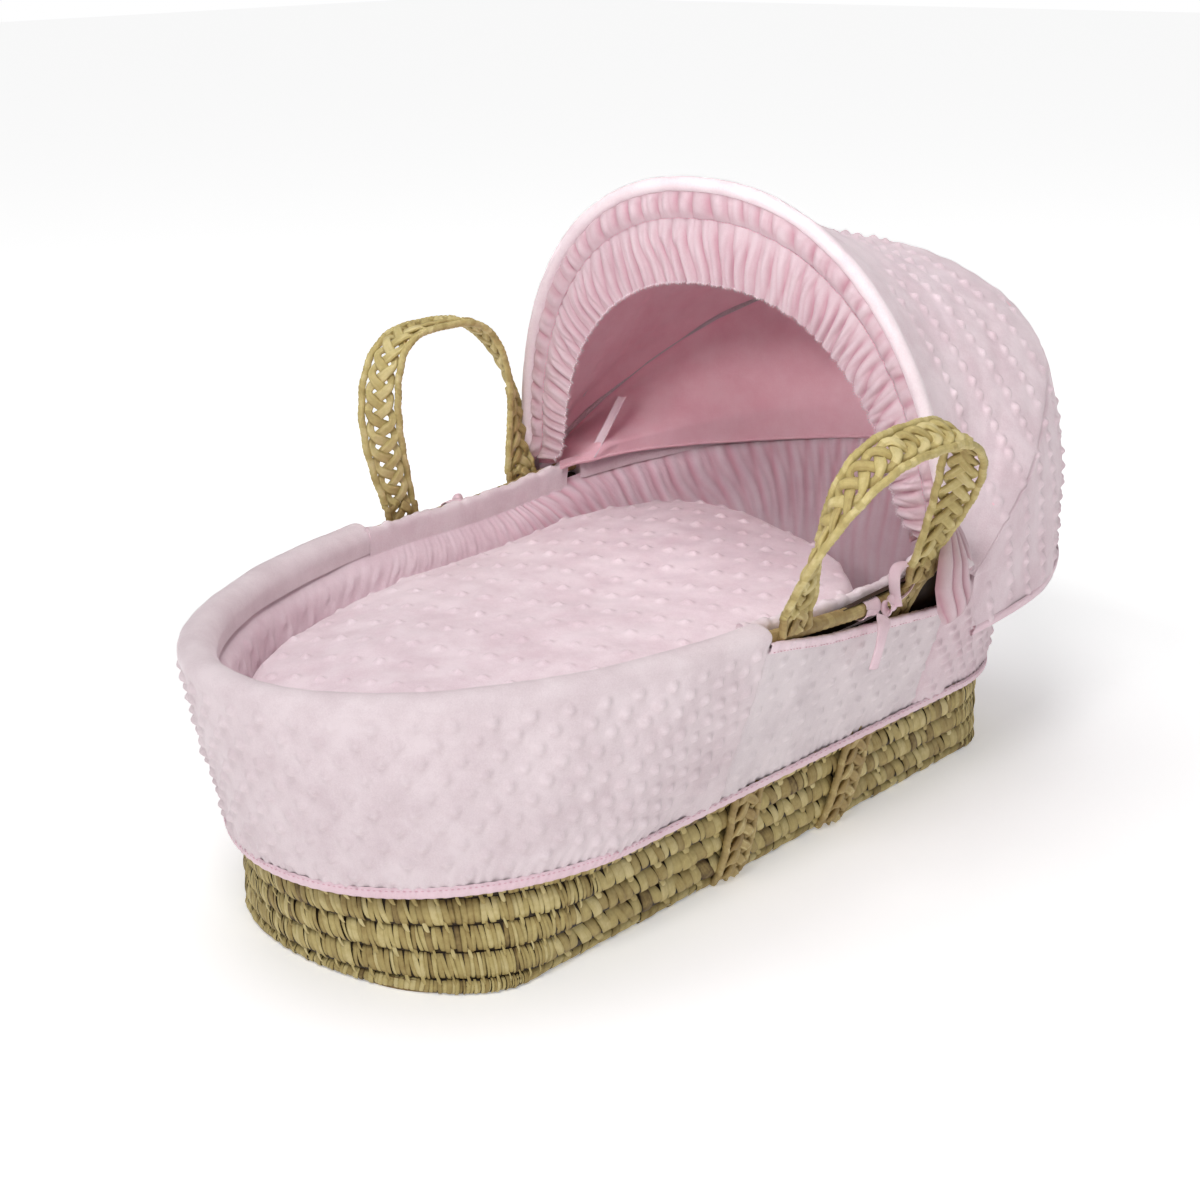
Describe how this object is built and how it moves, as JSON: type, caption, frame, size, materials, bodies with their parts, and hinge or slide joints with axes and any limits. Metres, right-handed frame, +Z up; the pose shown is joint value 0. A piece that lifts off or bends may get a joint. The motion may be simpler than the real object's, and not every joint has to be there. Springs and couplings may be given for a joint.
{
  "type": "moses basket",
  "caption": "Woven baby basket with braided carry handles, a padded dimple-plush skirt and liner, a domed coverlet and a folding hood with a gathered ruffle.",
  "frame": {"origin": "on the floor under the middle of the basket's woven floor", "axes": "+Z up, +X along the basket towards the hood end, +Y towards the far carry handle"},
  "size_m": [0.8517, 0.5318, 0.5095],
  "materials": {
    "straw": "dry woven palm leaf",
    "plush": "dimple plush",
    "lining": "soft gathered cloth",
    "satin": "satin",
    "mattress": "plain cotton",
    "bow": "matte"
  },
  "bodies": {
    "basket": {"base_coil": "straw", "basket_floor": "straw", "braid_course_1": "straw", "braid_course_2": "straw", "braid_course_3": "straw", "braid_course_4": "straw", "canopy_back_panel": "plush", "canopy_middle_panel": "plush", "canopy_valance": "plush", "coverlet": "plush", "hem_binding": "satin", "hood_hinge_far": "bow", "hood_hinge_near": "bow", "hood_rear_bow": "bow", "liner_lip_far": "lining", "liner_lip_near": "lining", "liner_wall": "lining", "mattress": "mattress", "ribbon_tail_near": "satin", "ribbon_tie_far": "satin", "ribbon_tie_near": "satin", "rim_coil": "straw", "skirt_flap_far": "plush", "skirt_flap_near": "plush", "skirt_foot_panel": "plush", "skirt_head_panel": "plush", "slot_binding_far": "satin", "slot_binding_near": "satin", "strap_far_foot": "straw", "strap_far_head": "straw", "strap_near_foot": "straw", "strap_near_head": "straw", "upper_wall": "straw"},
    "hood_front": {"canopy_front_panel": "plush", "hood_edge_roll": "plush", "hood_front_bow": "bow", "ruffle_elastic_seam": "satin", "ruffle_inner_band": "lining", "ruffle_outer_band": "lining"},
    "handle_near": {"handle_near_braid": "straw", "handle_near_inner_cord": "straw", "handle_near_outer_cord": "straw"},
    "handle_far": {"handle_far_braid": "straw", "handle_far_inner_cord": "straw", "handle_far_outer_cord": "straw"}
  },
  "joints": [
    {"name": "hood_fold", "type": "hinge", "parent": "basket", "child": "hood_front", "pos_m": [0.112, 0, 0.218], "axis": [0, 1, 0], "range_deg": [0, 55]},
    {"name": "near_handle_swing", "type": "hinge", "parent": "basket", "child": "handle_near", "pos_m": [-0.0015, -0.2145, 0.2365], "axis": [1, 0, 0], "range_deg": [-85, 134]},
    {"name": "far_handle_swing", "type": "hinge", "parent": "basket", "child": "handle_far", "pos_m": [0.01, 0.2145, 0.2365], "axis": [-1, 0, 0], "range_deg": [-58, 150]}
  ]
}
